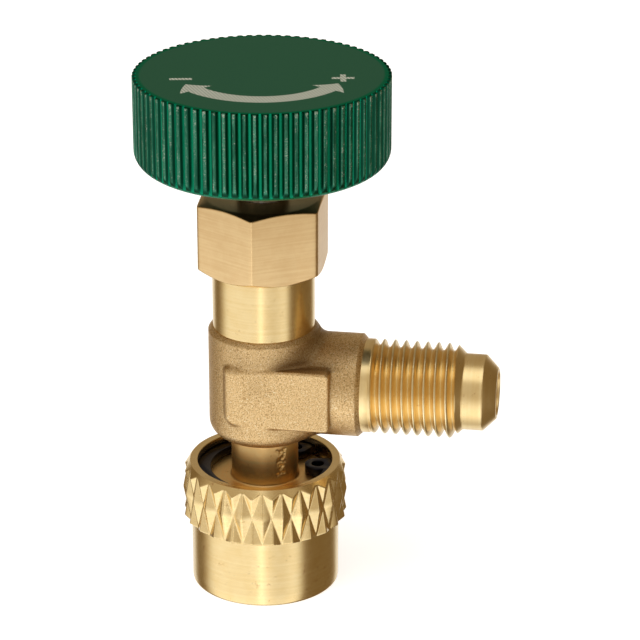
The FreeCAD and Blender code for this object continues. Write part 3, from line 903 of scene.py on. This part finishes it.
steel = {"spindle": rgb(150, 146, 138), "ring": rgb(44, 46, 60), "spring": rgb(170, 170, 168)}
rubber = {"black": rgb(28, 27, 26), "cream": rgb(226, 220, 204)}


def nodeCopy(name, node, material, flat=None):
    # a smooth copy of the node's mesh with its doubles merged; faces within `flat` degrees are joined
    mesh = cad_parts[node].data.copy()
    mesh.name = name
    work = bmesh.new()
    work.from_mesh(mesh)
    bmesh.ops.remove_doubles(work, verts=work.verts, dist=1e-6)
    if flat:
        bmesh.ops.dissolve_limit(work, angle_limit=math.radians(flat), verts=work.verts, edges=work.edges)
    work.to_mesh(mesh)
    work.free()
    mesh.materials.clear()
    mesh.materials.append(material)
    mesh.shade_smooth()
    piece = bpy.data.objects.new(name, mesh)
    bpy.context.scene.collection.objects.link(piece)
    return piece


def softened(name, node, body, material, width):
    # a copy of the node with its sharp edges broken by a small bevel
    piece = nodeCopy(name, node, material, 0.5)
    bevel = piece.modifiers.new("broken edges", "BEVEL")
    bevel.width = width * millimetre
    bevel.segments = 2
    bevel.limit_method = "ANGLE"
    bevel.angle_limit = math.radians(35)
    bevel.harden_normals = True
    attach(piece, body)
    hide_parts(node)
    print("softened", node)


def finishNode(node, material):
    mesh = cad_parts[node].data
    mesh.materials.clear()
    mesh.materials.append(material)
    print("finished", node)


softened("ring_edges", "union_circlip", "union",
         plainMetal("blued_steel", steel["ring"], 0.3), 0.06)
softened("spindle_turned", "spindle", "spindle",
         plainMetal("spindle_steel", steel["spindle"], 0.3), 0.08)

# the spring stays where it stands: a smooth copy of its mesh, attached to no body
coil = nodeCopy("spring_coil", "pin_return_spring", plainMetal("spring_wire", steel["spring"], 0.25))
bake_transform(coil)
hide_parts("pin_return_spring")
print("made spring_coil")

finishNode("depressor_pin", plainMetal("pin_brass", turnedBrass["colour"], 0.25))
finishNode("pin_guide", plainMetal("guide_brass", turnedBrass["dark"], 0.3))
finishNode("flare_gasket", plainPolymer("gasket_polymer", rubber["cream"], 0.5))
finishNode("bonnet_gasket", plainPolymer("bonnet_gasket_polymer", rubber["cream"], 0.5))
finishNode("spindle_packing_lower", plainPolymer("seal_rubber", rubber["black"], 0.45))
finishNode("spindle_packing_upper", plainPolymer("seal_rubber_upper", rubber["black"], 0.45))


# Floor, light and backdrop

white = (1.0, 1.0, 1.0, 1.0)

# The camera sees plain white behind the part, and the polished metal mirrors that backdrop, white up to
# the horizon, with the rest of a studio: a pale table in front, dim walls, a softbox above and a
# narrow strip beside the camera. `ends` are bearings in degrees from +X towards +Y; a bearing past
# -180 carries on round. `soft` is the width over which an end fades.
studio = {
    "table": {"ends": (-184.0, -22.0), "soft": (36.0, 16.0)},
    "shade": {"ends": (-72.0, -44.0), "soft": (16.0, 16.0)},
    "strip": {"ends": (-90.0, -84.0), "soft": (4.0, 6.0)},
    "back": {"ends": (64.0, 136.0), "soft": (24.0, 24.0)},
    "wall": 0.4, "near": 0.58, "nearRise": (-0.12, 0.38), "closer": 0.28, "closerRise": (0.36, 0.62),
    "steep": 0.6, "steepFall": (0.8, 1.0), "stripLevel": 0.9, "shadeLevel": 0.2, "backLevel": 0.22,
    "backNear": 0.78, "backRise": (-0.05, 0.15),
    "overhead": {"towards": (0.036, -0.205, 0.978), "edge": (0.86, 0.96), "level": 0.95},
    "tint": [(0.0, rgb(122, 104, 76)), (0.5, rgb(198, 186, 166)), (1.0, white)],
    "floorHalf": 400.0, "floorColour": (0.8, 0.8, 0.8, 1.0), "floorGlow": 0.74,
}


def sector(x, y, spread):
    # 1 in the directions between the two bearings, seen from above, and 0 in the others
    ends = np.radians(spread["ends"])
    soft = np.radians(spread["soft"]) / 2
    middle = ends.mean()
    reach = (ends[1] - ends[0]) / 2
    ahead = x * math.cos(middle) + y * math.sin(middle)
    aside = y * math.cos(middle) - x * math.sin(middle)
    bearing = aside.maths("ARCTAN2", ahead)
    first = bearing.step(-reach - soft[0], -reach + soft[0])
    return first - bearing.step(reach - soft[1], reach + soft[1])


world = bpy.data.worlds.new("studio")
bpy.context.scene.world = world
graph = Graph(world)
x, y, z = graph.split(graph.node("TexCoord", output=0))
seen = graph.node("LightPath", output="Is Camera Ray")
seen = seen.maths("MAXIMUM", graph.node("LightPath", output="Is Transmission Ray"))
down = 0 - z
table = studio["wall"] + down.step(*studio["nearRise"]) * studio["near"]
table = table + down.step(*studio["closerRise"]) * studio["closer"]
table = table - down.step(*studio["steepFall"]) * studio["steep"]
level = sector(x, y, studio["table"]) * table - sector(x, y, studio["shade"]) * studio["shadeLevel"]
behind = studio["backLevel"] + down.step(*studio["backRise"]) * studio["backNear"]
level = level + sector(x, y, studio["back"]) * behind
overhead = studio["overhead"]
above = x * overhead["towards"][0] + y * overhead["towards"][1] + z * overhead["towards"][2]
level = level + above.step(*overhead["edge"]) * overhead["level"]
strip = sector(x, y, studio["strip"]) * (1 - above.step(*overhead["edge"])) * studio["stripLevel"]
level = level + strip
colour = graph.node("ValToRGB", {"stops": studio["tint"]}, {0: level.maths("MAXIMUM", seen)})
strength = level.maths("MAXIMUM", 1.0) * (1 - seen) + seen
back = graph.node("Background", None, {"Color": colour, "Strength": strength})
graph.node("OutputWorld", None, {"Surface": back})

# the floor holds the shadow; mirrored rays pass it by, since the table is in the studio's picture, and
# it is clear from below, so that the part's base can be seen
mesh = bpy.data.meshes.new("floor")
half = studio["floorHalf"] * millimetre
corners = [(-half, -half, 0), (half, -half, 0), (half, half, 0), (-half, half, 0)]
mesh.from_pydata(corners, [], [(0, 1, 2, 3)])
floor = bpy.data.objects.new("floor", mesh)
bpy.context.scene.collection.objects.link(floor)
floor.visible_glossy = False
floorMaterial, graph = newMaterial("floor")
seen = graph.node("LightPath", output="Is Camera Ray")
below = graph.node("NewGeometry", output="Backfacing")
diffuse = graph.node("BsdfDiffuse", None, {"Color": studio["floorColour"]})
glow = graph.node("Emission", None, {"Color": white, "Strength": seen * studio["floorGlow"]})
lit = graph.node("AddShader", None, {0: diffuse, 1: glow})
clear = graph.node("BsdfTransparent", None, {"Color": white})
shown = graph.node("MixShader", None, {0: below, 1: lit, 2: clear})
graph.node("OutputMaterial", None, {"Surface": shown})
mesh.materials.append(floorMaterial)


def softbox(name, place, aim, width, height, level):
    # a soft light of the given brightness; its power is pi times its area times that. It is left out of
    # mirrored rays, which see the studio's picture
    lamp = bpy.data.lights.new(name, "AREA")
    lamp.shape = "RECTANGLE"
    lamp.size = width * millimetre
    lamp.size_y = height * millimetre
    lamp.energy = math.pi * lamp.size * lamp.size_y * level
    holder = bpy.data.objects.new(name, lamp)
    bpy.context.scene.collection.objects.link(holder)
    holder.location = Vector(place) * millimetre
    holder.rotation_mode = "QUATERNION"
    holder.rotation_quaternion = (Vector(aim) - Vector(place)).to_track_quat("-Z", "Y")
    holder.visible_glossy = False


softbox("key", place=(-420, -420, 420), aim=(0, 0, 30), width=420, height=420, level=1.6)
softbox("overhead", place=(-60, -60, 620), aim=(0, 0, 30), width=520, height=520, level=0.9)
print("stage and lamps set")
